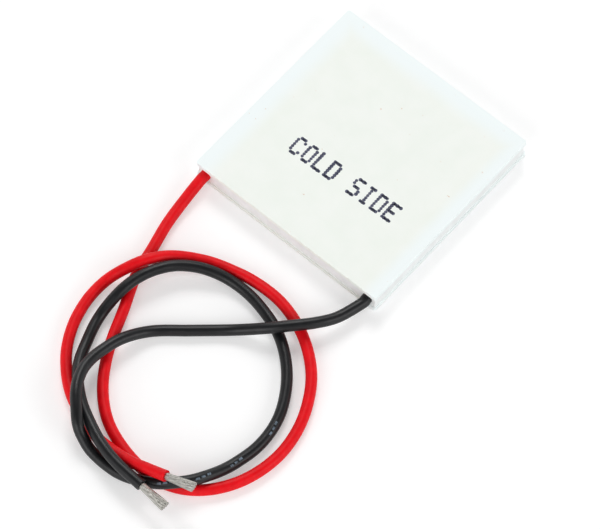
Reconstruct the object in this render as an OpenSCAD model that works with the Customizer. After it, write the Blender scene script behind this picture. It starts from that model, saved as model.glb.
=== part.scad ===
// Thermoelectric cooling module: two ceramic plates with rows of semiconductor
// legs soldered between them, a silicone edge seal, and two stranded leads.
// Millimetres, Z up. The origin is the middle of the module's underside.
// The leads leave the edge that faces -Y.

/* [Plates] */
// Side of each square ceramic plate
plate_side = 30; // [20:0.5:40]
// Thickness of each ceramic plate
plate_t = 0.65; // [0.5:0.05:0.7]
// Size of the flat on each upright corner of a plate
corner_cut = 0.2; // [0.1:0.05:0.5]

/* [Semiconductor legs] */
// Number of legs along each side of the square field, an even number
legs_across = 16; // [10:2:18]
// Distance from the edges of the plates to the outermost legs
edge_margin = 1.0; // [0.8:0.05:1.5]
// Side of a leg's square section
leg_side = 1.0; // [0.7:0.05:1.2]
// Height of a leg
leg_h = 1.4; // [1.2:0.1:2.4]

/* [Copper and solder] */
// Thickness of the copper bridges and pads
copper_t = 0.3; // [0.2:0.05:0.4]
// How far the copper reaches past the legs that stand on it
copper_margin = 0.1; // [0.05:0.01:0.15]
// Thickness of the solder under and over each leg
solder_t = 0.05; // [0.03:0.01:0.08]

/* [Edge seal] */
// How far the seal's outer face stands back from the edges of the plates
seal_inset = 0.15; // [0.1:0.05:0.3]
// Gap between the seal's inner face and the copper
seal_clearance = 0.2; // [0.1:0.05:0.3]
// Depth of the hollow along the middle of the seal's outer face
seal_hollow = 0.15; // [0.05:0.05:0.25]

/* [Leads] */
// Outside diameter of a lead
lead_d = 1.5; // [1.2:0.05:1.6]
// Gap between a lead and the hot plate where it passes through the seal
lead_lift = 0.1; // [0.05:0.05:0.2]
// Length of a lead that runs straight out from under the plates
lead_straight = 0.8; // [0.4:0.1:1.5]
// Diameter of the bare conductor on its pad
core_d = 0.75; // [0.5:0.05:0.8]
// How far the bare conductor reaches past its solder joint
core_stub = 0.25; // [0.1:0.05:0.5]
// Thickness of the solder around the bare conductor
joint_wall = 0.15; // [0.1:0.05:0.2]
// Length of the solder joint along the conductor
joint_l = 1.1; // [0.6:0.1:1.2]
// Length of the tinned end past the insulation
tip_l = 4.2; // [3:0.1:8]
// Diameter of the tinned end where it leaves the insulation
tip_root_d = 0.95; // [0.7:0.05:1.1]
// Width of the tinned end at its cut, spread by the cutter
tip_w = 1.45; // [1:0.05:1.6]
// Thickness of the tinned end at its cut
tip_t = 0.75; // [0.5:0.05:1]

/* [Hidden] */
$fn = 48;
tube_sides = 8;
hollow_sides = 96;
// How far a cutting shape reaches past what it cuts
cut_over = 1;
octagon_turn = 180 / tube_sides;

hot_top = plate_t;
pad_top = hot_top + copper_t;
leg_foot = pad_top + solder_t;
leg_head = leg_foot + leg_h;
cold_copper = leg_head + solder_t;
cold_foot = cold_copper + copper_t;

half_side = plate_side / 2;
last_leg = half_side - edge_margin - leg_side / 2;
leg_pitch = 2 * last_leg / (legs_across - 1);
leg_count = legs_across * legs_across - 2;
cold_bridge_count = leg_count / 2;
copper_side = leg_side + 2 * copper_margin;

seal_out = half_side - seal_inset;
seal_in = last_leg + copper_side / 2 + seal_clearance;
seal_h = cold_foot - hot_top;
seal_mid = (hot_top + cold_foot) / 2;
hollow_r = (pow(seal_h / 2, 2) + pow(seal_hollow, 2)) / (2 * seal_hollow);

// A lead's axis is as low as its insulation on the plate allows, or as its
// conductor in the solder on the pad allows.
lead_z = max(hot_top + lead_lift + lead_d / 2, pad_top + joint_wall + core_d / 2);
core_l = seal_in - last_leg + joint_l / 2 + core_stub;

// Routes of the two leads: out through the seal, then in one open loop on the
// bench, where each passes over itself and the other lead.
function lead_exit(x) = [
    [x, -seal_in, lead_z],
    [x, -half_side, lead_z],
    [x, -half_side - lead_straight, lead_z]
];
red_route = concat(lead_exit(-last_leg), [
    [-13.3, -19.2, 1], [-12.8, -23, 0.8], [-11.8, -27, 0.8],
    [-10.8, -31.2, 0.8], [-8.8, -35.7, 0.8], [-6.5, -41, 0.8],
    [-3.6, -45.4, 0.8], [0, -48.5, 0.8], [4.4, -50.2, 0.8],
    [9, -50.7, 0.8], [12.6, -49.8, 0.8], [15.6, -47.6, 0.8],
    [17.9, -44.2, 0.8], [19.1, -40.1, 0.8], [19.1, -36, 0.8],
    [17.8, -31.6, 0.8], [15, -27.2, 0.8], [10.8, -23.9, 0.8],
    [5.9, -22.1, 0.8], [1.1, -22, 0.8], [-3.4, -23, 0.8],
    [-6.2, -24.3, 1.1], [-8.8, -26.4, 1.8], [-10.5, -29, 2.6],
    [-11.9, -31.6, 2.2], [-13.1, -34.4, 1.1], [-13.1, -38, 0.8],
    [-11.9, -42, 0.8], [-9.5, -45.7, 0.8], [-5.5, -49, 0.8],
    [0, -51, 0.8], [3, -51.4, 1.4], [6, -51.4, 2.1],
    [8.8, -51, 3], [11.6, -50.5, 3.85]
]);
black_route = concat(lead_exit(last_leg), [
    [12.6, -19.4, 1.9], [11.1, -22.1, 2.4], [9.1, -24.5, 2.6],
    [6.9, -26.6, 2.2], [3.5, -29, 0.9], [-0.5, -32.5, 0.8],
    [-4, -35.7, 0.9], [-5.7, -39.2, 2], [-6.4, -42.5, 2.5],
    [-6.4, -45.1, 3], [-5.7, -47.3, 3.45], [-4.5, -49.2, 3.65],
    [-3, -50.8, 3.4], [-1.7, -52, 2.8], [-0.4, -52.6, 1.8],
    [1.9, -53.1, 0.9], [6, -53, 0.8], [10.2, -51.7, 1.9], [12.7, -49.8, 2.45],
    [14.4, -47.3, 2.1], [15.7, -43.2, 0.8], [16.5, -38.5, 0.8],
    [15.6, -33.8, 0.8], [12.7, -29.2, 0.8], [8.5, -25.8, 0.8],
    [3.5, -24.1, 0.8], [-0.8, -23.9, 1], [-4.3, -25, 1.7],
    [-7, -26.9, 2.2], [-8.7, -29.3, 2.6], [-9.8, -32, 2.6],
    [-10.3, -35, 2.2], [-10.4, -38.5, 0.8], [-9.1, -42.5, 0.8],
    [-7.7, -45.3, 1.4], [-6, -47.3, 1.9], [-3.8, -49.1, 2.2],
    [-1.3, -50.5, 2.3], [2.1, -52, 2.7], [5.5, -52.8, 2.8],
    [9.8, -53.1, 2.9]
]);

// Legs are numbered along the current's path, which runs up and down the
// columns. The two corners on the lead side hold the pads' ends, not legs.
function leg_after_first(k) = k - (legs_across - 1);
function leg_col(k) = k < legs_across - 1
    ? 0
    : 1 + floor(leg_after_first(k) / legs_across);
function leg_step(k) = leg_after_first(k) % legs_across;
function leg_row(k) = k < legs_across - 1
    ? k + 1
    : leg_col(k) % 2 == 0 ? leg_step(k) : legs_across - 1 - leg_step(k);
function grid(i) = i * leg_pitch - last_leg;
function leg_at(k) = [grid(leg_col(k)), grid(leg_row(k))];
function is_n_type(k) = k % 2 == 0;

function two_digits(i) = i < 10 ? str("0", i) : str(i);
function leg_node(kind, col) = str(kind, "_legs_column_", two_digits(col + 1));

// A swept tube: one ring of points at each point of the path. The rings stand
// across the path with one axis level, so the tube doesn't twist.
function unit(v) = v / norm(v);
function heading(path, i) =
    unit(path[min(i + 1, len(path) - 1)] - path[max(i - 1, 0)]);
function level_axis(dir) = unit(cross(dir, [0, 0, 1]));
function ring_point(centre, dir, half_w, half_t, a) =
    centre
    + half_w * cos(a) * level_axis(dir)
    + half_t * sin(a) * cross(level_axis(dir), dir);

module swept_tube(path, half_w, half_t) {
    last = len(path) - 1;
    rings = [
        for (i = [0 : last], s = [0 : tube_sides - 1])
            ring_point(path[i], heading(path, i), half_w[i], half_t[i],
                       octagon_turn + s * 360 / tube_sides)
    ];
    walls = [
        for (i = [0 : last - 1], s = [0 : tube_sides - 1])
            let (near = i * tube_sides, next = (s + 1) % tube_sides)
            each [
                [near + s, near + next, near + tube_sides + s],
                [near + next, near + tube_sides + next, near + tube_sides + s]
            ]
    ];
    first_cap = [for (s = [tube_sides - 1 : -1 : 0]) s];
    last_cap = [for (s = [0 : tube_sides - 1]) last * tube_sides + s];
    polyhedron(concat(rings), concat(walls, [first_cap, last_cap]));
}

module plate() {
    reach = half_side - corner_cut;
    linear_extrude(plate_t)
        polygon([
            [reach, half_side], [-reach, half_side],
            [-half_side, reach], [-half_side, -reach],
            [-reach, -half_side], [reach, -half_side],
            [half_side, -reach], [half_side, reach]
        ]);
}

module cold_plate() {
    color("whitesmoke") translate([0, 0, cold_foot]) plate();
}

module hot_plate() {
    color("whitesmoke") plate();
}

module leg(k) {
    translate([leg_at(k)[0], leg_at(k)[1], leg_foot + leg_h / 2])
        cube([leg_side, leg_side, leg_h], center = true);
}

module leg_column(col, wants_n) {
    color(wants_n ? "dimgray" : "slategray")
        for (k = [0 : leg_count - 1])
            if (leg_col(k) == col && is_n_type(k) == wants_n) leg(k);
}

// A flat copper link over two grid points
module bridge(from, to, z) {
    mid = (from + to) / 2;
    span = [abs(to[0] - from[0]), abs(to[1] - from[1])];
    translate([mid[0], mid[1], z + copper_t / 2])
        cube([span[0] + copper_side, span[1] + copper_side, copper_t],
             center = true);
}

module cold_bridges() {
    color("peru")
        for (j = [0 : cold_bridge_count - 1])
            bridge(leg_at(2 * j), leg_at(2 * j + 1), cold_copper);
}

module hot_bridges() {
    color("peru")
        for (j = [0 : cold_bridge_count - 2])
            bridge(leg_at(2 * j + 1), leg_at(2 * j + 2), hot_top);
}

// The pad runs from the first or last leg to the empty corner under its lead
module lead_pad(col) {
    color("peru") bridge([grid(col), grid(0)], [grid(col), grid(1)], hot_top);
}

module leg_solder(z) {
    color("silver")
        for (k = [0 : leg_count - 1])
            translate([leg_at(k)[0], leg_at(k)[1], z + solder_t / 2])
                cube([leg_side, leg_side, solder_t], center = true);
}

module lead_core(route) {
    color("silver")
        translate(route[0])
            rotate([-90, 0, 0]) cylinder(d = core_d, h = core_l);
}

// A saddle of solder that holds the bare conductor down on its pad
module lead_joint(route) {
    exit = route[0];
    joint_d = core_d + 2 * joint_wall;
    color("silver")
        difference() {
            translate([exit[0], -last_leg - joint_l / 2, 0]) {
                translate([-joint_d / 2, 0, pad_top])
                    cube([joint_d, joint_l, exit[2] - pad_top]);
                translate([0, 0, exit[2]])
                    rotate([-90, 0, 0]) cylinder(d = joint_d, h = joint_l);
            }
            translate(exit)
                rotate([-90, 0, 0]) cylinder(d = core_d, h = core_l);
        }
}

// The eight-sided hole that a lead fills where it passes through the seal
module lead_passage(route) {
    translate(route[0])
        rotate([90, octagon_turn, 0])
            cylinder(d = lead_d, h = half_side, center = true, $fn = tube_sides);
}

module edge_seal() {
    color("gainsboro")
        difference() {
            translate([-seal_out, -seal_out, hot_top])
                cube([2 * seal_out, 2 * seal_out, seal_h]);
            translate([-seal_in, -seal_in, hot_top - cut_over])
                cube([2 * seal_in, 2 * seal_in, seal_h + 2 * cut_over]);
            for (turn = [0 : 90 : 270])
                rotate([0, 0, turn])
                    translate([seal_out - seal_hollow + hollow_r, 0, seal_mid])
                        rotate([90, 0, 0])
                            cylinder(r = hollow_r, h = plate_side + 2 * cut_over,
                                     center = true, $fn = hollow_sides);
            lead_passage(red_route);
            lead_passage(black_route);
        }
}

module lead(route, tint) {
    radii = [for (p = route) lead_d / 2];
    color(tint) swept_tube(route, radii, radii);
}

// The tinned strands: round at the insulation, spread flat at the cut
module tinned_end(route) {
    last = len(route) - 1;
    root = route[last];
    path = [root, root + tip_l * unit(root - route[last - 1])];
    color("darkgray")
        swept_tube(path, [tip_root_d / 2, tip_w / 2], [tip_root_d / 2, tip_t / 2]);
}

cold_plate();
hot_plate();
edge_seal();
cold_bridges();
hot_bridges();
leg_solder(leg_head);  // cold_solder
leg_solder(pad_top);  // hot_solder
lead_pad(0);  // positive_pad
lead_pad(legs_across - 1);  // negative_pad
lead_joint(red_route);  // positive_joint
lead_joint(black_route);  // negative_joint
lead_core(red_route);  // red_lead_core
lead_core(black_route);  // black_lead_core
lead(red_route, "red");  // red_lead
lead(black_route, "black");  // black_lead
tinned_end(red_route);  // red_tinned_end
tinned_end(black_route);  // black_tinned_end
for (col = [0 : legs_across - 1]) {
    leg_column(col, true);
    leg_column(col, false);
}
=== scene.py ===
# %% [markdown]
# # A thermoelectric cooling module
#
# The module is a flat sandwich: two white ceramic plates with rows of tiny
# semiconductor legs between them, closed all round by a bead of silicone. A red
# and a black lead come out of one edge. The construction is fixed and is loaded
# first. This script adds what only the eye needs: the leads as round flexible
# wires, their tinned ends, the print, the finish of every surface, and a plain
# white studio around them.

# %% Load the construction
import math

import bmesh
import bpy
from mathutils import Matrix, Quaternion, Vector


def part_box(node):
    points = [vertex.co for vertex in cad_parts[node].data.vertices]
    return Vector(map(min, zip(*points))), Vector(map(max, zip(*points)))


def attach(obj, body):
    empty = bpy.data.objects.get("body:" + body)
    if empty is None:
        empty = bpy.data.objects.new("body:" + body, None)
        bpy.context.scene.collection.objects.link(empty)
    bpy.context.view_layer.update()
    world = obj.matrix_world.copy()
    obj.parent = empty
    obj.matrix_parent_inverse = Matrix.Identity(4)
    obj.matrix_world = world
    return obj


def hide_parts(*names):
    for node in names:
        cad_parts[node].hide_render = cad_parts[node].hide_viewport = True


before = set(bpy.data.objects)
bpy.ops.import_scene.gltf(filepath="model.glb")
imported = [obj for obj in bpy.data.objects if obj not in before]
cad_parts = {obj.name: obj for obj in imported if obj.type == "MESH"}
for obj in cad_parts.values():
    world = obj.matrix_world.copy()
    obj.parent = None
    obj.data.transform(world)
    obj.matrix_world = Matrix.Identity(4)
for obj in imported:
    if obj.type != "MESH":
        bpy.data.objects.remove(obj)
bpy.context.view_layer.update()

MM = 0.001


# %% [markdown]
# ## The camera
#
# A long lens from half a metre away keeps the square plate almost free of
# perspective, as on a product page. The camera stands in front of the lead side
# and to the right, and looks steeply down. The track quaternion points it at a
# spot on the bench, and a small roll about its own axis levels the picture.

# %% Camera
CAMERA_SPOT = Vector((170.9, -211.6, 488.5)) * MM
AIM_SPOT = Vector((3.51, -16.08, 0)) * MM
CAMERA_ROLL = math.radians(0.31)
CAMERA_LENS = 261.8

bpy.ops.object.camera_add(location=CAMERA_SPOT)
camera = bpy.context.object
camera.name = "camera"
facing = (AIM_SPOT - CAMERA_SPOT).to_track_quat("-Z", "Y")
camera.rotation_euler = (facing @ Quaternion((0, 0, 1), CAMERA_ROLL)).to_euler()
camera.data.lens = CAMERA_LENS
bpy.context.scene.camera = camera
print("camera:", [round(x, 3) for x in camera.location], "lens", camera.data.lens)

# %% [markdown]
# ## The leads
#
# A lead is stranded wire in soft PVC, 1.5 mm thick. It goes straight out through the seal, drops to
# the bench and lies in one open loop that passes over itself and over the other lead. A few listed
# points give the route. A smooth line is drawn through them, and a curve with a round bevel follows
# it, so the length can be measured before anything is rendered. Turned into a mesh, the curve keeps
# flat, closed ends where the insulation is cut.

# %% Where the leads start
LEAD_D = 1.5 * MM
LEAD_STRAIGHT = 0.8 * MM


def box_middle(node):
    low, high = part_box(node)
    return (Vector(low) + Vector(high)) / 2


def lead_exit(core_node):
    """Three points on the straight stretch from the seal's inner face outwards."""
    middle = box_middle(core_node)
    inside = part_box(core_node)[0][1]
    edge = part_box("cold_plate")[0][1]
    return [Vector((middle.x, y, middle.z)) for y in (inside, edge, edge - LEAD_STRAIGHT)]


print("red lead starts at", [round(x / MM, 2) for x in lead_exit("red_lead_core")[0]])

# %% The two routes, in millimetres
RED_LOOP = [
    (-13.3, -19.2, 1), (-12.8, -23, 0.8), (-11.8, -27, 0.8),
    (-10.8, -31.2, 0.8), (-8.8, -35.7, 0.8), (-6.5, -41, 0.8),
    (-3.6, -45.4, 0.8), (0, -48.5, 0.8), (4.4, -50.2, 0.8),
    (9, -50.7, 0.8), (12.6, -49.8, 0.8), (15.6, -47.6, 0.8),
    (17.9, -44.2, 0.8), (19.1, -40.1, 0.8), (19.1, -36, 0.8),
    (17.8, -31.6, 0.8), (15, -27.2, 0.8), (10.8, -23.9, 0.8),
    (5.9, -22.1, 0.8), (1.1, -22, 0.8), (-3.4, -23, 0.8),
    (-6.2, -24.3, 1.1), (-8.8, -26.4, 1.8), (-10.5, -29, 2.6),
    (-11.9, -31.6, 2.2), (-13.1, -34.4, 1.1), (-13.1, -38, 0.8),
    (-11.9, -42, 0.8), (-9.5, -45.7, 0.8), (-5.5, -49, 0.8),
    (0, -51, 0.8), (3, -51.4, 1.4), (6, -51.4, 2.1),
    (8.8, -51, 3), (11.6, -50.5, 3.85),
]
BLACK_LOOP = [
    (12.6, -19.4, 1.9), (11.1, -22.1, 2.4), (9.1, -24.5, 2.6),
    (6.9, -26.6, 2.2), (3.5, -29, 0.9), (-0.5, -32.5, 0.8),
    (-4, -35.7, 0.9), (-5.7, -39.2, 2), (-6.4, -42.5, 2.5),
    (-6.4, -45.1, 3), (-5.7, -47.3, 3.45), (-4.5, -49.2, 3.65),
    (-3, -50.8, 3.4), (-1.7, -52, 2.8), (-0.4, -52.6, 1.8),
    (1.9, -53.1, 0.9), (6, -53, 0.8), (10.2, -51.7, 1.9), (12.7, -49.8, 2.45),
    (14.4, -47.3, 2.1), (15.7, -43.2, 0.8), (16.5, -38.5, 0.8),
    (15.6, -33.8, 0.8), (12.7, -29.2, 0.8), (8.5, -25.8, 0.8),
    (3.5, -24.1, 0.8), (-0.8, -23.9, 1), (-4.3, -25, 1.7),
    (-7, -26.9, 2.2), (-8.7, -29.3, 2.6), (-9.8, -32, 2.6),
    (-10.3, -35, 2.2), (-10.4, -38.5, 0.8), (-9.1, -42.5, 0.8),
    (-7.7, -45.3, 1.4), (-6, -47.3, 1.9), (-3.8, -49.1, 2.2),
    (-1.3, -50.5, 2.3), (2.1, -52, 2.7), (5.5, -52.8, 2.8),
    (9.8, -53.1, 2.9),
]
red_route = lead_exit("red_lead_core") + [Vector(p) * MM for p in RED_LOOP]
black_route = lead_exit("black_lead_core") + [Vector(p) * MM for p in BLACK_LOOP]
print("route points:", len(red_route), "red,", len(black_route), "black")

# %% One smooth line through the points
STEPS_PER_STRETCH = 8


def smooth_line(route):
    """A Catmull-Rom line through the points, which never sinks into the bench."""
    padded = [2 * route[0] - route[1], *route, 2 * route[-1] - route[-2]]
    line = []
    for before, here, there, beyond in zip(padded, padded[1:], padded[2:], padded[3:]):
        for step in range(STEPS_PER_STRETCH):
            t = step / STEPS_PER_STRETCH
            spot = 0.5 * (
                2 * here
                + (there - before) * t
                + (2 * before - 5 * here + 4 * there - beyond) * t**2
                + (3 * here - before - 3 * there + beyond) * t**3
            )
            spot.z = max(spot.z, LEAD_D / 2)
            line.append(spot)
    return line + [route[-1]]


def length_of(line):
    return sum((b - a).length for a, b in zip(line, line[1:]))


red_line = smooth_line(red_route)
black_line = smooth_line(black_route)
print("insulated lengths:", round(length_of(red_line), 4), round(length_of(black_line), 4), "m")

# %% Round insulation along a line
SMOOTH_BELOW = math.radians(50)
INSULATION_ROUNDNESS = 8


def deselect_all():
    bpy.ops.object.select_all(action="DESELECT")


def tubes(name, lines, radius, roundness):
    """A mesh of round tubes, one along each line, with closed ends."""
    curve = bpy.data.curves.new(name, "CURVE")
    curve.dimensions = "3D"
    curve.bevel_depth = radius
    curve.bevel_resolution = roundness
    curve.use_fill_caps = True
    for line in lines:
        spline = curve.splines.new("POLY")
        spline.points.add(len(line) - 1)
        for knot, spot in zip(spline.points, line):
            knot.co = (*spot, 1)
    piece = bpy.data.objects.new(name, curve)
    bpy.context.collection.objects.link(piece)
    deselect_all()
    piece.select_set(True)
    bpy.context.view_layer.objects.active = piece
    bpy.ops.object.convert(target="MESH")
    bpy.ops.object.shade_smooth_by_angle(angle=SMOOTH_BELOW)
    return piece


red_insulation = tubes("red_insulation", [red_line], LEAD_D / 2, INSULATION_ROUNDNESS)
black_insulation = tubes("black_insulation", [black_line], LEAD_D / 2, INSULATION_ROUNDNESS)
for insulation in (red_insulation, black_insulation):
    print(insulation.name, len(insulation.data.polygons), "faces")

# %% [markdown]
# ## The tinned ends
#
# At the far end the insulation is stripped, and the fine copper strands are held
# together by a coat of solder. The cutter spreads them a little. Nineteen thin
# tubes lie side by side in two rings round a middle one and turn slowly about
# the wire's axis. A voxel remesh then melts them into one skin, as the solder does.

# %% One bundle of strands
TIP_LENGTH = 4.2 * MM
TIP_ROOT_D = 0.95 * MM
TIP_WIDTH = 1.45 * MM
TIP_THICKNESS = 0.75 * MM
STRAND_RINGS = ((0, 1), (1, 6), (2, 12))
STRAND_TURN = math.radians(70)
STRAND_STEPS = 12
STRANDS_ACROSS = 5
STRAND_R = TIP_ROOT_D / 9
STRAND_ROUNDNESS = 2
MELT_SIZE = 0.04 * MM
FLOW_SHARE = 0.6
FLOW_ROUNDS = 16


def strand_paths(start, along):
    """The middle line of each strand, from just inside the insulation to the cut."""
    across = along.cross(Vector((0, 0, 1))).normalized()
    up = across.cross(along)
    strand_d = TIP_ROOT_D / STRANDS_ACROSS
    spread = (TIP_WIDTH - strand_d) / (TIP_ROOT_D - strand_d)
    squeeze = (TIP_THICKNESS - strand_d) / (TIP_ROOT_D - strand_d)
    for ring, count in STRAND_RINGS:
        for place in range(count):
            path = []
            for step in range(STRAND_STEPS + 1):
                t = step / STRAND_STEPS
                angle = math.tau * place / count + STRAND_TURN * t
                side = ring * strand_d * math.cos(angle) * (1 + (spread - 1) * t)
                height = ring * strand_d * math.sin(angle) * (1 + (squeeze - 1) * t)
                path.append(start + along * TIP_LENGTH * t + across * side + up * height)
            yield path


def apply_modifiers(piece):
    for modifier in list(piece.modifiers):
        bpy.ops.object.modifier_apply(modifier=modifier.name)


def tinned_strands(name, route):
    """The strands at a lead's far end, run together and then smoothed."""
    along = (route[-1] - route[-2]).normalized()
    piece = tubes(name, strand_paths(route[-1], along), STRAND_R, STRAND_ROUNDNESS)
    melt = piece.modifiers.new("melt", "REMESH")
    melt.mode = "VOXEL"
    melt.voxel_size = MELT_SIZE
    flow = piece.modifiers.new("flow", "SMOOTH")
    flow.factor = FLOW_SHARE
    flow.iterations = FLOW_ROUNDS
    apply_modifiers(piece)
    bpy.ops.object.shade_smooth()
    return piece


red_strands = tinned_strands("red_strands", red_route)
black_strands = tinned_strands("black_strands", black_route)
print("strand skin:", len(red_strands.data.polygons), "faces")

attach(red_insulation, "root")
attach(black_insulation, "root")
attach(red_strands, "root")
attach(black_strands, "root")
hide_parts("red_lead")
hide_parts("black_lead")
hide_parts("red_tinned_end")
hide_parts("black_tinned_end")

# %% [markdown]
# ## The ceramic plates
#
# Each plate is sawn from fired alumina. Its four upright corners are cut off a
# little, and its edges are just broken, so they catch a thin line of light. A cube
# at the plate's own size is shaped in edit mode: the upright edges get the corner
# cut, and a narrow Bevel modifier breaks the rest.

# %% Plates with broken edges
CORNER_CUT = 0.2 * MM
EDGE_BREAK = 0.035 * MM
EDGE_SEGMENTS = 2


def block_over(name, node):
    """A cube with the place and size of a node's box, ready to be shaped."""
    low, high = (Vector(corner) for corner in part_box(node))
    deselect_all()
    bpy.ops.mesh.primitive_cube_add(size=1, location=(low + high) / 2)
    piece = bpy.context.object
    piece.name = name
    piece.scale = high - low
    bpy.ops.object.transform_apply(location=True, rotation=True, scale=True)
    return piece


def select_edges(piece, wanted):
    """In edit mode, select the edges that the test picks."""
    mesh = bmesh.from_edit_mesh(piece.data)
    for edge in mesh.edges:
        edge.select_set(False)
    for edge in mesh.edges:
        edge.select_set(wanted(edge.verts[0].co, edge.verts[1].co))
    bmesh.update_edit_mesh(piece.data)


def ceramic_plate(name, node):
    """One plate: its upright edges cut, then all its edges broken."""
    piece = block_over(name, node)
    bpy.ops.object.mode_set(mode="EDIT")
    bpy.ops.mesh.select_mode(type="EDGE")
    select_edges(piece, lambda a, b: abs(a.z - b.z) > EDGE_BREAK)
    bpy.ops.mesh.bevel(offset=CORNER_CUT, segments=1)
    bpy.ops.object.mode_set(mode="OBJECT")
    edges = piece.modifiers.new("edges", "BEVEL")
    edges.width = EDGE_BREAK
    edges.segments = EDGE_SEGMENTS
    apply_modifiers(piece)
    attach(piece, "root")
    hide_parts(node)
    return piece


cold_ceramic = ceramic_plate("cold_ceramic", "cold_plate")
hot_ceramic = ceramic_plate("hot_ceramic", "hot_plate")
print("plates:", len(cold_ceramic.data.polygons), "faces each")

# %% [markdown]
# ## The silicone seal
#
# The gap between the plates is filled from the side with silicone, which dries
# with a hollow face and never quite even. A block without its top and bottom gets
# level cuts, whose middle ones are drawn in, and then upright cuts so that a
# Displace modifier can make the face uneven. A Solidify modifier gives the wall.

# %% Uneven seal
SEAL_HOLLOW = 0.13 * MM
SEAL_WALL = 0.45 * MM
RIM_SHARE = 0.15
LEVEL_CUTS = 8
UPRIGHT_CUTS = 120
LUMP_SIZE = 2.2 * MM
LUMP_HEIGHT = 0.16 * MM
LUMP_MIDDLE = 0.7
SEAL_SMOOTH_BELOW = math.radians(60)


def hollow_depth(z, low_z, high_z):
    """0 at the rims and 1 halfway up."""
    return math.sin(math.pi * (z - low_z) / (high_z - low_z))


def open_block(name, node):
    """A block over the node's box, without its top and bottom."""
    piece = block_over(name, node)
    bpy.ops.object.mode_set(mode="EDIT")
    mesh = bmesh.from_edit_mesh(piece.data)
    for face in mesh.faces:
        face.select_set(abs(face.normal.z) > 0.5)
    bmesh.update_edit_mesh(piece.data)
    bpy.ops.mesh.delete(type="ONLY_FACE")
    bpy.ops.object.mode_set(mode="OBJECT")
    return piece


def cut_across(low, high, cuts, axis):
    """In edit mode, cut the whole mesh into even slices along an axis."""
    normal = Vector((0, 0, 0))
    normal[axis] = 1
    for cut in range(1, cuts):
        bpy.ops.mesh.select_all(action="SELECT")
        place = normal * (low[axis] + (high[axis] - low[axis]) * cut / cuts)
        bpy.ops.mesh.bisect(plane_co=place, plane_no=normal)


def silicone_seal(name, node):
    """A thin wall with a hollow and slightly lumpy outer face."""
    piece = open_block(name, node)
    low, high = (Vector(corner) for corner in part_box(node))
    bpy.ops.object.mode_set(mode="EDIT")
    cut_across(low, high, LEVEL_CUTS, 2)
    cut_across(low, high, UPRIGHT_CUTS, 0)
    cut_across(low, high, UPRIGHT_CUTS, 1)
    mesh = bmesh.from_edit_mesh(piece.data)
    for vert in mesh.verts:
        pull = 1 - SEAL_HOLLOW * hollow_depth(vert.co.z, low.z, high.z) / high.x
        vert.co.x *= pull
        vert.co.y *= pull
    bmesh.update_edit_mesh(piece.data)
    bpy.ops.mesh.select_all(action="SELECT")
    bpy.ops.mesh.normals_make_consistent(inside=False)
    bpy.ops.object.mode_set(mode="OBJECT")
    face = piece.vertex_groups.new(name="face")
    for vert in piece.data.vertices:
        weight = RIM_SHARE + (1 - RIM_SHARE) * hollow_depth(vert.co.z, low.z, high.z)
        face.add([vert.index], weight, "REPLACE")
    lumps = bpy.data.textures.new("silicone_lumps", "CLOUDS")
    lumps.noise_scale = LUMP_SIZE
    uneven = piece.modifiers.new("uneven", "DISPLACE")
    uneven.texture = lumps
    uneven.vertex_group = face.name
    uneven.strength = LUMP_HEIGHT
    uneven.mid_level = LUMP_MIDDLE
    wall = piece.modifiers.new("wall", "SOLIDIFY")
    wall.thickness = SEAL_WALL
    wall.offset = -1
    apply_modifiers(piece)
    bpy.ops.object.shade_smooth_by_angle(angle=SEAL_SMOOTH_BELOW)
    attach(piece, "root")
    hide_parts(node)
    return piece


seal = silicone_seal("silicone_seal", "edge_seal")
print("seal:", len(seal.data.polygons), "faces")

# %% [markdown]
# ## Marks on the black lead
#
# Small pale blue-grey marks sit in a few places on top of the black lead. One mark is a short, thin
# grid whose points are moved onto the round insulation, a hair above it. A few groups of them follow
# the lead where it runs round the loop.

# %% Pale marks
MARK_GROUPS = (0.062, 0.0665, 0.0715, 0.078)
MARKS_IN_GROUP = 3
MARK_STEP = 0.75 * MM
MARK_HALF_L = 0.24 * MM
MARK_HALF_ANGLE = math.radians(10)
MARK_LIFT = 0.012 * MM
MARK_FACES_UP = math.radians(70)
MARK_LEAN = math.radians(6)
MARK_SUBDIVISIONS = 4


def place_on(line, distance):
    """The point and the heading at a distance along a line."""
    for here, there in zip(line, line[1:]):
        stretch = (there - here).length
        if distance <= stretch:
            return here.lerp(there, distance / stretch), (there - here).normalized()
        distance -= stretch
    return line[-1], (line[-1] - line[-2]).normalized()


def bend_onto(mark, line, distance, turn):
    """Move the grid's points onto the insulation, with its own place kept."""
    for vert in mark.data.vertices:
        spot, along = place_on(line, distance + vert.co.x * MARK_HALF_L)
        level = along.cross(Vector((0, 0, 1))).normalized()
        angle = turn + vert.co.y * MARK_HALF_ANGLE
        outward = math.cos(angle) * level + math.sin(angle) * level.cross(along)
        vert.co = spot + outward * (LEAD_D / 2 + MARK_LIFT)


def merge(pieces, name):
    """One object out of several, with a name of its own."""
    deselect_all()
    for piece in pieces:
        piece.select_set(True)
    bpy.context.view_layer.objects.active = pieces[0]
    bpy.ops.object.join()
    bpy.context.object.name = name
    return bpy.context.object


marks = []
for group in MARK_GROUPS:
    for count in range(MARKS_IN_GROUP):
        deselect_all()
        bpy.ops.mesh.primitive_grid_add(
            x_subdivisions=MARK_SUBDIVISIONS, y_subdivisions=MARK_SUBDIVISIONS, size=2
        )
        mark = bpy.context.object
        turn = MARK_FACES_UP + MARK_LEAN * (count - 1)
        bend_onto(mark, black_line, group + count * MARK_STEP, turn)
        marks.append(mark)
print("marks:", len(marks))
lead_marks = merge(marks, "lead_marks")
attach(lead_marks, "root")

# %% [markdown]
# ## The print
#
# The cold side is marked by a dot printer: every letter is a pattern of small
# round dots of dark ink, five wide and seven high, a little uneven in size. One
# dot is a thin disc. It is copied to each place in the pattern, with the line of
# letters rising a little towards one end, as a hand-fed print does.

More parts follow.
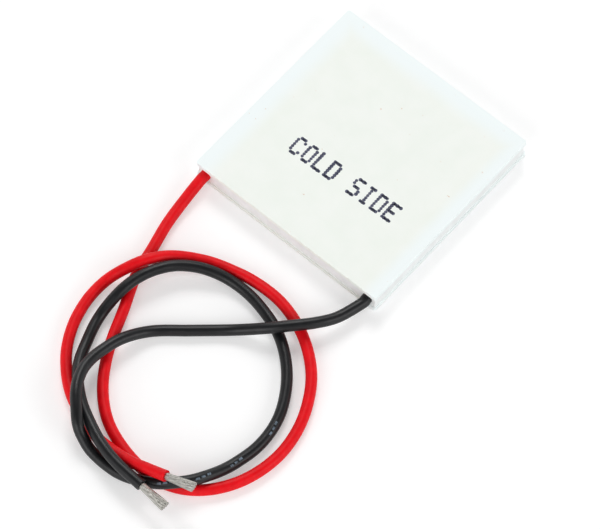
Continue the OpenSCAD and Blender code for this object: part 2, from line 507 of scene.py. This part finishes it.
# %% Letters from dots
LETTERS = {
    "C": (".###.", "#...#", "#....", "#....", "#....", "#...#", ".###."),
    "O": (".###.", "#...#", "#...#", "#...#", "#...#", "#...#", ".###."),
    "L": ("#....", "#....", "#....", "#....", "#....", "#....", "#####"),
    "D": ("####.", "#...#", "#...#", "#...#", "#...#", "#...#", "####."),
    "S": (".####", "#....", "#....", ".###.", "....#", "....#", "####."),
    "I": (".###.", "..#..", "..#..", "..#..", "..#..", "..#..", ".###."),
    "E": ("#####", "#....", "#....", "####.", "#....", "#....", "#####"),
}
WORDS = "COLD SIDE"
DOT_STEP_X = 0.285 * MM
DOT_STEP_Y = 0.4 * MM
LETTER_STEP = 1.9 * MM
DOT_R = 0.235 * MM
DOT_SIDES = 12
DOT_DRIFT = 0.02 * MM
DOT_UNEVEN = 0.1
WANDER_STEPS = (7.3, 3.1, 5.7)
INK_T = 0.006 * MM
PRINT_START = Vector((-7.2, -5.9, 0)) * MM
PRINT_TILT = math.radians(1.7)


def wander(*counts):
    """A number between -1 and 1 that looks drawn by chance."""
    return math.sin(sum(step * count for step, count in zip(WANDER_STEPS, counts)))


def dot_places():
    """Where each dot goes, and how large it is."""
    turn = Quaternion((0, 0, 1), PRINT_TILT)
    for position, letter in enumerate(WORDS):
        rows = LETTERS.get(letter, ())
        for row, dots in enumerate(rows):
            for column, mark in enumerate(dots):
                if mark != "#":
                    continue
                chance = wander(position, column, row)
                x = position * LETTER_STEP + column * DOT_STEP_X + DOT_DRIFT * chance
                y = (len(rows) - 1 - row) * DOT_STEP_Y
                yield PRINT_START + turn @ Vector((x, y, 0)), DOT_R * (1 + DOT_UNEVEN * chance)


def ink_print(name):
    """All the dots of the words as one thin piece on the cold face."""
    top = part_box("cold_plate")[1][2]
    deselect_all()
    bpy.ops.mesh.primitive_cylinder_add(vertices=DOT_SIDES, radius=1, depth=1)
    dot = bpy.context.object
    copies = []
    for spot, radius in dot_places():
        copy = dot.copy()
        copy.data = dot.data.copy()
        copy.location = (spot.x, spot.y, top + INK_T / 2)
        copy.scale = (radius, radius, INK_T)
        bpy.context.collection.objects.link(copy)
        copies.append(copy)
    bpy.data.objects.remove(dot)
    count = len(copies)
    piece = merge(copies, name)
    bpy.ops.object.transform_apply(location=True, rotation=True, scale=True)
    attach(piece, "root")
    return piece, count


ink, dots = ink_print("ink_print")
print("print:", dots, "dots")

# %% [markdown]
# ## Materials
#
# Every finish starts from one Principled shader. Two effects are shared by all of
# them, so each is a node group that is built once: a tone that wanders between two
# colours, and a fine relief. A material places both with values of its own.

# %% Helpers for node recipes
FLOAT = "NodeSocketFloat"
COLOUR = "NodeSocketColor"
NORMAL = "NodeSocketVector"


def add(tree, kind, **settings):
    """A new node, with its inputs or its own settings set by name."""
    node = tree.nodes.new(kind)
    for key, value in settings.items():
        if key in node.inputs:
            node.inputs[key].default_value = value
        else:
            setattr(node, key, value)
    return node


def join(tree, source, target):
    tree.links.new(source, target)


def new_material(name):
    material = bpy.data.materials.new(name)
    material.use_nodes = True
    return material


def shader_of(material):
    return material.node_tree.nodes["Principled BSDF"]


def dress(node, material):
    """Give a piece or a node of the construction its material."""
    data = node.data
    data.materials.clear()
    data.materials.append(material)


def map_range(tree, value, start, stop, **settings):
    """0 to 1 as the value goes from start to stop."""
    node = add(tree, "ShaderNodeMapRange", **settings)
    node.inputs["From Min"].default_value = start
    node.inputs["From Max"].default_value = stop
    join(tree, value, node.inputs["Value"])
    return node.outputs["Result"]


def mix_colour(tree, factor, first, second):
    """A blend of two colours, each a tuple or a socket."""
    node = add(tree, "ShaderNodeMix", data_type="RGBA")
    join(tree, factor, node.inputs["Factor"])
    for socket, colour in ((node.inputs[6], first), (node.inputs[7], second)):
        if isinstance(colour, tuple):
            socket.default_value = (*colour, 1)
        else:
            join(tree, colour, socket)
    return node.outputs[2]


print("helpers ready")

# %% Two shared effects
NOISE_DETAIL = 4
TONE_START = 0.35
TONE_STOP = 0.65


def new_group(name, inputs, output, kind):
    """A node group, its input sockets to read from and its output socket to fill."""
    tree = bpy.data.node_groups.new(name, "ShaderNodeTree")
    for label, socket in inputs:
        tree.interface.new_socket(label, in_out="INPUT", socket_type=socket)
    tree.interface.new_socket(output, in_out="OUTPUT", socket_type=kind)
    given = tree.nodes.new("NodeGroupInput").outputs
    wanted = tree.nodes.new("NodeGroupOutput").inputs[output]
    return tree, given, wanted


def surface_noise(tree, scale_socket):
    """Noise over the object's own space, as fine as the group's Scale says."""
    place = add(tree, "ShaderNodeTexCoord")
    noise = add(tree, "ShaderNodeTexNoise", Detail=NOISE_DETAIL)
    join(tree, place.outputs["Object"], noise.inputs["Vector"])
    join(tree, scale_socket, noise.inputs["Scale"])
    return noise.outputs["Fac"]


tone_group, given, wanted = new_group(
    "wandering_tone", (("Scale", FLOAT), ("Low", COLOUR), ("High", COLOUR)), "Colour", COLOUR
)
share = map_range(tone_group, surface_noise(tone_group, given["Scale"]), TONE_START, TONE_STOP)
join(tone_group, mix_colour(tone_group, share, given["Low"], given["High"]), wanted)

relief_group, given, wanted = new_group(
    "fine_relief", (("Scale", FLOAT), ("Height", FLOAT), ("Strength", FLOAT)), "Normal", NORMAL
)
bump = add(relief_group, "ShaderNodeBump")
join(relief_group, surface_noise(relief_group, given["Scale"]), bump.inputs["Height"])
join(relief_group, given["Height"], bump.inputs["Distance"])
join(relief_group, given["Strength"], bump.inputs["Strength"])
join(relief_group, bump.outputs["Normal"], wanted)
print("groups:", tone_group.name, relief_group.name)

# %% One recipe for a finish


def place_group(tree, name, group, **values):
    node = add(tree, "ShaderNodeGroup", node_tree=group, name=name)
    for key, value in values.items():
        colour = isinstance(value, tuple)
        node.inputs[key].default_value = (*value, 1) if colour else value
    return node


def finish(name, tone_scale, low, high, roughness, relief=None, gloss=0.5, metallic=0):
    """A material with a wandering tone and, if asked for, a fine relief.

    The relief is its scale, its height and its strength.
    """
    material = new_material(name)
    tree = material.node_tree
    shader = shader_of(material)
    tone = place_group(tree, "tone", tone_group, Scale=tone_scale, Low=low, High=high)
    join(tree, tone.outputs["Colour"], shader.inputs["Base Color"])
    shader.inputs["Roughness"].default_value = roughness
    shader.inputs["Specular IOR Level"].default_value = gloss
    shader.inputs["Metallic"].default_value = metallic
    if relief:
        scale, height, strength = relief
        bumps = place_group(
            tree, "relief", relief_group, Scale=scale, Height=height, Strength=strength
        )
        join(tree, bumps.outputs["Normal"], shader.inputs["Normal"])
    return material


print("recipe ready")

# %% Soft PVC for the leads
PVC_RELIEF = (2500, 0.008 * MM, 0.3)
red_pvc = finish(
    "red_pvc", 900, (0.72, 0.002, 0.007), (0.82, 0.004, 0.01), 0.45, PVC_RELIEF, gloss=0.18
)
black_pvc = finish(
    "black_pvc", 900, (0.004, 0.0045, 0.0055), (0.008, 0.0085, 0.01), 0.4, PVC_RELIEF, gloss=0.35
)
dress(red_insulation, red_pvc)
dress(black_insulation, black_pvc)
print("leads dressed")

# %% Metals and crystals
METAL_RELIEF = (6000, 0.01 * MM, 0.5)


def metal(name, low, high, roughness):
    return finish(name, 2500, low, high, roughness, METAL_RELIEF, metallic=1)


tinned_copper = metal("tinned_copper", (0.36, 0.35, 0.32), (0.46, 0.45, 0.42), 0.5)
solder = metal("solder", (0.5, 0.5, 0.51), (0.66, 0.66, 0.67), 0.35)
copper = metal("copper", (0.68, 0.3, 0.16), (0.82, 0.42, 0.26), 0.38)
n_crystal = metal("n_crystal", (0.2, 0.2, 0.23), (0.32, 0.32, 0.36), 0.42)
p_crystal = metal("p_crystal", (0.25, 0.25, 0.26), (0.38, 0.38, 0.39), 0.42)
for piece in (red_strands, black_strands):
    dress(piece, tinned_copper)
for name in ("red_lead_core", "black_lead_core"):
    dress(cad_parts[name], tinned_copper)
for name in ("cold_solder", "hot_solder", "positive_joint", "negative_joint"):
    dress(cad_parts[name], solder)
for name in ("cold_bridges", "hot_bridges", "positive_pad", "negative_pad"):
    dress(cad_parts[name], copper)
for name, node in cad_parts.items():
    if name.startswith("n_legs"):
        dress(node, n_crystal)
    elif name.startswith("p_legs"):
        dress(node, p_crystal)
print("metals dressed")

# %% Silicone, ink and pale marks
silicone = finish(
    "silicone", 700, (0.82, 0.84, 0.835), (0.88, 0.905, 0.905), 0.55, (1500, 0.03 * MM, 0.5)
)
dark_ink = finish("ink", 2600, (0.035, 0.04, 0.075), (0.11, 0.115, 0.18), 0.7)
# Pale blue-grey colour of the small marks on top of the black lead.
pale_mark_finish = finish("pale_mark_finish", 3000, (0.05, 0.07, 0.09), (0.16, 0.21, 0.27), 0.6)
dress(seal, silicone)
dress(ink, dark_ink)
dress(lead_marks, pale_mark_finish)
print("seal and print dressed")

# %% White alumina
# The face is a warm white with a cooler, brighter band along three edges, and a few rusty specks.
BAND_WAVE = 0.7 * MM
BAND_WAVE_SCALE = 180
BAND_WAVE_DETAIL = 3
SPECK_SCALE = 1600
SPECK_DETAIL = 2
SPECK_START = 0.755
SPECK_STOP = 0.82
BAND_COLOUR = (0.895, 0.955, 0.955)
SPECK_COLOUR = (0.7, 0.5, 0.36)
half_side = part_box("cold_plate")[1][0]


def band(tree, axis, start, stop):
    """0 to 1 as the place along an axis goes from start to stop, with a wavy edge."""
    place = add(tree, "ShaderNodeTexCoord")
    noise = add(tree, "ShaderNodeTexNoise", Scale=BAND_WAVE_SCALE, Detail=BAND_WAVE_DETAIL)
    parts = add(tree, "ShaderNodeSeparateXYZ")
    wave = add(tree, "ShaderNodeMath", operation="MULTIPLY_ADD")
    wave.inputs[1].default_value = BAND_WAVE
    join(tree, place.outputs["Object"], noise.inputs["Vector"])
    join(tree, place.outputs["Object"], parts.inputs["Vector"])
    join(tree, noise.outputs["Fac"], wave.inputs[0])
    join(tree, parts.outputs[axis], wave.inputs[2])
    shift = BAND_WAVE / 2
    return map_range(
        tree, wave.outputs[0], start + shift, stop + shift, interpolation_type="SMOOTHSTEP"
    )


def larger(tree, first, second):
    node = add(tree, "ShaderNodeMath", operation="MAXIMUM")
    join(tree, first, node.inputs[0])
    join(tree, second, node.inputs[1])
    return node.outputs[0]


def specks(tree):
    """1 in a few tiny spots of the surface."""
    place = add(tree, "ShaderNodeTexCoord")
    noise = add(tree, "ShaderNodeTexNoise", Scale=SPECK_SCALE, Detail=SPECK_DETAIL)
    join(tree, place.outputs["Object"], noise.inputs["Vector"])
    return map_range(tree, noise.outputs["Fac"], SPECK_START, SPECK_STOP)


alumina = finish(
    "alumina", 300, (0.875, 0.915, 0.86), (0.9, 0.93, 0.885), 0.6, (5000, 0.004 * MM, 0.3), gloss=0.3
)
tree = alumina.node_tree
left_band = band(tree, "X", -half_side + 3.6 * MM, -half_side + 0.9 * MM)
back_band = band(tree, "Y", half_side - 3.6 * MM, half_side - 0.9 * MM)
right_band = band(tree, "X", half_side - 2.6 * MM, half_side - 0.5 * MM)
any_band = larger(tree, larger(tree, left_band, back_band), right_band)
banded = mix_colour(tree, any_band, tree.nodes["tone"].outputs["Colour"], BAND_COLOUR)
specked = mix_colour(tree, specks(tree), banded, SPECK_COLOUR)
join(tree, specked, shader_of(alumina).inputs["Base Color"])
dress(cold_ceramic, alumina)
dress(hot_ceramic, alumina)
print("plates dressed")

# %% [markdown]
# ## The studio
#
# The module lies on a white sweep under soft, even light. The floor is a plain
# diffuse white, with a little of its own light for the eye, for reflections and
# through glass, so that it reaches paper white and still keeps the shadows.

# %% Floor
FLOOR_DROP = 0.02 * MM
FLOOR_SIDE = 6
FLOOR_WHITE = 0.7
FLOOR_GLOW = 0.37
FLOOR_ROUGHNESS = 0.9

deselect_all()
bpy.ops.mesh.primitive_plane_add(size=FLOOR_SIDE, location=(0, 0, -FLOOR_DROP))
floor = bpy.context.object
floor.name = "floor"


def seen_or_reflected(tree):
    """1 on rays from the camera, off a glossy surface or through a clear one."""
    rays = add(tree, "ShaderNodeLightPath")
    seen = larger(tree, rays.outputs["Is Camera Ray"], rays.outputs["Is Glossy Ray"])
    return larger(tree, seen, rays.outputs["Is Transmission Ray"])


paper = new_material("paper_white")
tree = paper.node_tree
shader = shader_of(paper)
shader.inputs["Base Color"].default_value = (FLOOR_WHITE, FLOOR_WHITE, FLOOR_WHITE, 1)
shader.inputs["Roughness"].default_value = FLOOR_ROUGHNESS
shader.inputs["Specular IOR Level"].default_value = 0
glow = add(tree, "ShaderNodeEmission", Color=(1, 1, 1, 1))
lift = add(tree, "ShaderNodeMath", operation="MULTIPLY")
lift.inputs[1].default_value = FLOOR_GLOW
both = add(tree, "ShaderNodeAddShader")
join(tree, seen_or_reflected(tree), lift.inputs[0])
join(tree, lift.outputs[0], glow.inputs["Strength"])
join(tree, shader.outputs["BSDF"], both.inputs[0])
join(tree, glow.outputs["Emission"], both.inputs[1])
join(tree, both.outputs["Shader"], tree.nodes["Material Output"].inputs["Surface"])
dress(floor, paper)
print("floor laid")

# %% World and lamps
# The room is bright low down and dimmer overhead, so that the dark lead stays dark
# on top and gets pale rims.
HORIZON_LIGHT = 1.5
ZENITH_LIGHT = 0.15
ZENITH_FROM = 0.75
LAMP_AIM = Vector((0, -20, 0)) * MM

world = bpy.data.worlds.new("studio")
bpy.context.scene.world = world
world.use_nodes = True
tree = world.node_tree
backdrop = tree.nodes["Background"]
backdrop.inputs["Color"].default_value = (1, 1, 1, 1)
direction = add(tree, "ShaderNodeTexCoord")
parts = add(tree, "ShaderNodeSeparateXYZ")
strength = add(tree, "ShaderNodeMapRange")
strength.inputs["From Max"].default_value = ZENITH_FROM
strength.inputs["To Min"].default_value = HORIZON_LIGHT
strength.inputs["To Max"].default_value = ZENITH_LIGHT
join(tree, direction.outputs["Generated"], parts.inputs["Vector"])
join(tree, parts.outputs["Z"], strength.inputs["Value"])
join(tree, strength.outputs["Result"], backdrop.inputs["Strength"])


def softbox(name, spot, size, watts):
    bpy.ops.object.light_add(type="AREA", location=spot)
    lamp = bpy.context.object
    lamp.name = name
    lamp.data.shape = "SQUARE"
    lamp.data.size = size
    lamp.data.energy = watts
    lamp.rotation_euler = (LAMP_AIM - lamp.location).to_track_quat("-Z", "Y").to_euler()


softbox("key", (-0.45, 0.5, 0.8), 0.4, 4.5)
softbox("right_fill", (0.85, 0.15, 0.5), 0.5, 2.6)
softbox("front_fill", (0.05, -0.85, 0.5), 0.6, 3.4)
print("studio lit")

# %% Colours shown as they are written
bpy.context.scene.view_settings.view_transform = "Standard"

# %% [markdown]
# ## Last update
#
# The view layer is brought up to date at the end.

# %% Last update
bpy.context.view_layer.update()
